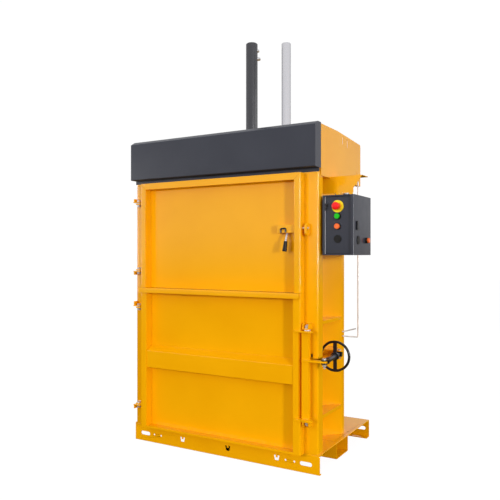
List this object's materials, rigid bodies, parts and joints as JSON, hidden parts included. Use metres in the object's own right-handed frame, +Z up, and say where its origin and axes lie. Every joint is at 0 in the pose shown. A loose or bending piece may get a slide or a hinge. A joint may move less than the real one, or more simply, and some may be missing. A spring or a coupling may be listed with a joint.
{
  "type": "vertical recycling baler",
  "caption": "Vertical baler with hinged feed and bale doors, a screw lock with handwheel, a press plate on a cylinder, and a control box.",
  "frame": {"origin": "on the floor, centre of the middle base channel's underside", "axes": "+Z up, -Y out of the front (doors), +X to the right seen from the front"},
  "size_m": [1.5545, 0.911, 2.657],
  "materials": {
    "orange_paint": "gloss",
    "grey_paint": "satin",
    "black_paint": "satin",
    "cylinder_paint": "gloss",
    "zinc_steel": "satin",
    "spindle_steel": "satin",
    "polished_rod": "polished",
    "black_plastic": "matte",
    "grey_plastic": "matte",
    "yellow_plastic": "satin",
    "red_plastic": "gloss",
    "green_plastic": "gloss",
    "orange_plastic": "gloss"
  },
  "bodies": {
    "frame": {"base_sill": "orange_paint", "base_channel_mid": "orange_paint", "base_channel_rear": "orange_paint", "floor_plate": "orange_paint", "post_left": "orange_paint", "post_right": "orange_paint", "side_wall_left": "orange_paint", "side_wall_right": "orange_paint", "rear_wall": "orange_paint", "rear_column_left": "orange_paint", "rear_column_right": "orange_paint", "wall_ribs": "orange_paint", "lock_anchor": "orange_paint", "hood_side_left": "orange_paint", "hood_side_right": "orange_paint", "header_beam": "orange_paint", "cross_beams": "orange_paint", "guide_bush": "orange_paint", "door_hinge_lugs": "orange_paint", "latch_keeper": "orange_paint", "lock_lugs": "orange_paint", "control_bracket": "orange_paint", "header_cover": "grey_paint", "oil_tank": "grey_paint", "pump_motor": "grey_paint", "control_box": "grey_paint", "box_hinges": "black_paint", "cylinder_barrel": "cylinder_paint", "cylinder_ports": "zinc_steel", "frame_bolts": "zinc_steel", "strap_hook": "zinc_steel", "side_fittings": "black_plastic", "cable_glands": "grey_plastic"},
    "upper_door": {"upper_door": "orange_paint", "latch_bracket": "orange_paint", "latch_staple": "black_paint"},
    "latch_rod": {"latch_rod": "zinc_steel", "latch_lever": "zinc_steel", "latch_grip": "black_plastic"},
    "lower_door": {"lower_door": "orange_paint", "door_ledge": "orange_paint", "door_beam": "orange_paint"},
    "press": {"press_plate": "orange_paint", "piston_rod": "polished_rod", "guide_rod": "polished_rod"},
    "lock_bar": {"locking_bar": "orange_paint"},
    "trunnion": {"trunnion": "black_paint"},
    "arm_fork": {"arm_fork": "black_paint", "fork_bolt": "zinc_steel"},
    "handwheel": {"lock_spindle": "spindle_steel", "handwheel": "black_paint"},
    "box_door": {"box_door": "grey_paint", "box_door_hinges": "black_paint", "estop_disc": "yellow_plastic", "button_collars": "black_plastic"},
    "estop_button": {"estop_button": "red_plastic"},
    "green_button": {"green_button": "green_plastic"},
    "orange_button": {"orange_button": "orange_plastic"},
    "side_button": {"side_button": "orange_plastic"},
    "box_latch": {"box_latch": "black_paint"}
  },
  "joints": [
    {"name": "upper_door_hinge", "type": "hinge", "parent": "frame", "child": "upper_door", "pos_m": [-0.612, -0.426, 1.35], "axis": [0, 0, 1], "range_deg": [-110, 0]},
    {"name": "lower_door_hinge", "type": "hinge", "parent": "frame", "child": "lower_door", "pos_m": [-0.612, -0.426, 0.57], "axis": [0, 0, 1], "range_deg": [-110, 0]},
    {"name": "press_slide", "type": "slide", "parent": "frame", "child": "press", "axis": [0, 0, -1], "range_m": [0, 0.7]},
    {"name": "handwheel_turn", "type": "hinge", "parent": "arm_fork", "child": "handwheel", "pos_m": [0.679, -0.127, 0.646], "axis": [0.1071, -0.9942, 0], "range_deg": [0, 5040]},
    {"name": "trunnion_yaw", "type": "hinge", "parent": "frame", "child": "trunnion", "pos_m": [0.679, -0.127, 0.646], "axis": [0, 0, -1], "range_deg": [0, 3.01]},
    {"name": "spindle_slide", "type": "slide", "parent": "trunnion", "child": "arm_fork", "axis": [-0.1071, 0.9942, 0], "range_m": [0, 0.0701]},
    {"name": "lock_bar_hinge", "type": "hinge", "parent": "frame", "child": "lock_bar", "pos_m": [0.607, -0.424, 0.56], "axis": [0, 0, 1], "range_deg": [0, 39.12]},
    {"name": "latch_rod_slide", "type": "slide", "parent": "upper_door", "child": "latch_rod", "axis": [-1, 0, 0], "range_m": [0, 0.024]},
    {"name": "box_door_hinge", "type": "hinge", "parent": "frame", "child": "box_door", "pos_m": [0.697, -0.3725, 1.4], "axis": [0, 0, -1], "range_deg": [0, 100]},
    {"name": "estop_push", "type": "slide", "parent": "box_door", "child": "estop_button", "axis": [0, 1, 0], "range_m": [0, 0.004], "stiffness_N_per_m": 2500},
    {"name": "green_push", "type": "slide", "parent": "box_door", "child": "green_button", "axis": [0, 1, 0], "range_m": [0, 0.003], "stiffness_N_per_m": 1500},
    {"name": "orange_push", "type": "slide", "parent": "box_door", "child": "orange_button", "axis": [0, 1, 0], "range_m": [0, 0.003], "stiffness_N_per_m": 1500},
    {"name": "side_push", "type": "slide", "parent": "frame", "child": "side_button", "axis": [-1, 0, 0], "range_m": [0, 0.003], "stiffness_N_per_m": 1500},
    {"name": "box_latch_turn", "type": "hinge", "parent": "frame", "child": "box_latch", "pos_m": [0.867, -0.328, 1.414], "axis": [-1, 0, 0], "range_deg": [0, 90]}
  ],
  "couplings": [
    {"joint": "spindle_slide", "follows": "handwheel_turn", "m_per_rad": 0.00079577},
    {"joint": "lock_bar_hinge", "follows": "handwheel_turn", "ratio": 0.0077579},
    {"joint": "trunnion_yaw", "follows": "handwheel_turn", "ratio": 0.00059524}
  ]
}
